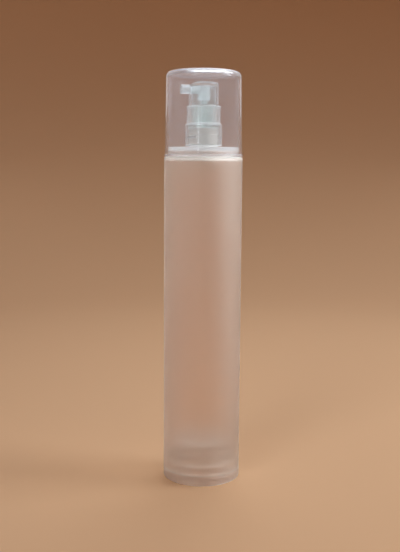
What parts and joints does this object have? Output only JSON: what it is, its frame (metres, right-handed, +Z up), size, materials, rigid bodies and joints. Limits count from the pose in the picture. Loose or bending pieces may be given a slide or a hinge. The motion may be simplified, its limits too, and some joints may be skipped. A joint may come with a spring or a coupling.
{
  "type": "pump oil bottle",
  "caption": "Slim airless pump bottle for massage oil: frosted barrel with a follower piston, snap-fit pump with a short spout, clear overcap.",
  "frame": {"origin": "centre of the foot, on the surface the bottle stands on", "axes": "+Z up along the bottle's centre line; the spout points along -X"},
  "size_m": [0.038, 0.038, 0.2],
  "materials": {
    "frosted_plastic": "frosted translucent",
    "plug_plastic": "translucent natural",
    "follower_plastic": "soft translucent white",
    "clear_plastic": "clear, slightly hazy",
    "natural_plastic": "translucent natural",
    "seal_plastic": "soft white",
    "steel": "bright wire"
  },
  "bodies": {
    "container": {"barrel": "frosted_plastic", "base_plug": "plug_plastic", "collar": "clear_plastic", "neck_gasket": "seal_plastic", "pump_housing": "natural_plastic", "pump_turret": "natural_plastic", "return_spring": "steel"},
    "overcap": {"overcap": "clear_plastic"},
    "plunger": {"stem": "natural_plastic", "piston_rod": "natural_plastic"},
    "actuator": {"actuator": "natural_plastic"},
    "pump_piston": {"pump_piston": "seal_plastic"},
    "inlet_ball": {"inlet_ball": "steel"},
    "follower_piston": {"follower_piston": "follower_plastic"}
  },
  "joints": [
    {"name": "overcap_lift", "type": "slide", "parent": "container", "child": "overcap", "axis": [0, 0, 1], "range_m": [0, 0.05]},
    {"name": "pump_stroke", "type": "slide", "parent": "container", "child": "plunger", "axis": [0, 0, 1], "range_m": [-0.005, 0], "stiffness_N_per_m": 900, "springref_m": 0.004, "deforming": ["return_spring"]},
    {"name": "actuator_swivel", "type": "hinge", "parent": "plunger", "child": "actuator", "pos_m": [0, 0, 0.188], "axis": [0, 0, 1], "continuous": true},
    {"name": "piston_play", "type": "slide", "parent": "plunger", "child": "pump_piston", "axis": [0, 0, 1], "range_m": [0, 0.0008]},
    {"name": "ball_lift", "type": "slide", "parent": "container", "child": "inlet_ball", "axis": [0, 0, 1], "range_m": [0, 0.0008]},
    {"name": "follower_rise", "type": "slide", "parent": "container", "child": "follower_piston", "axis": [0, 0, 1], "range_m": [0, 0.1425]}
  ]
}
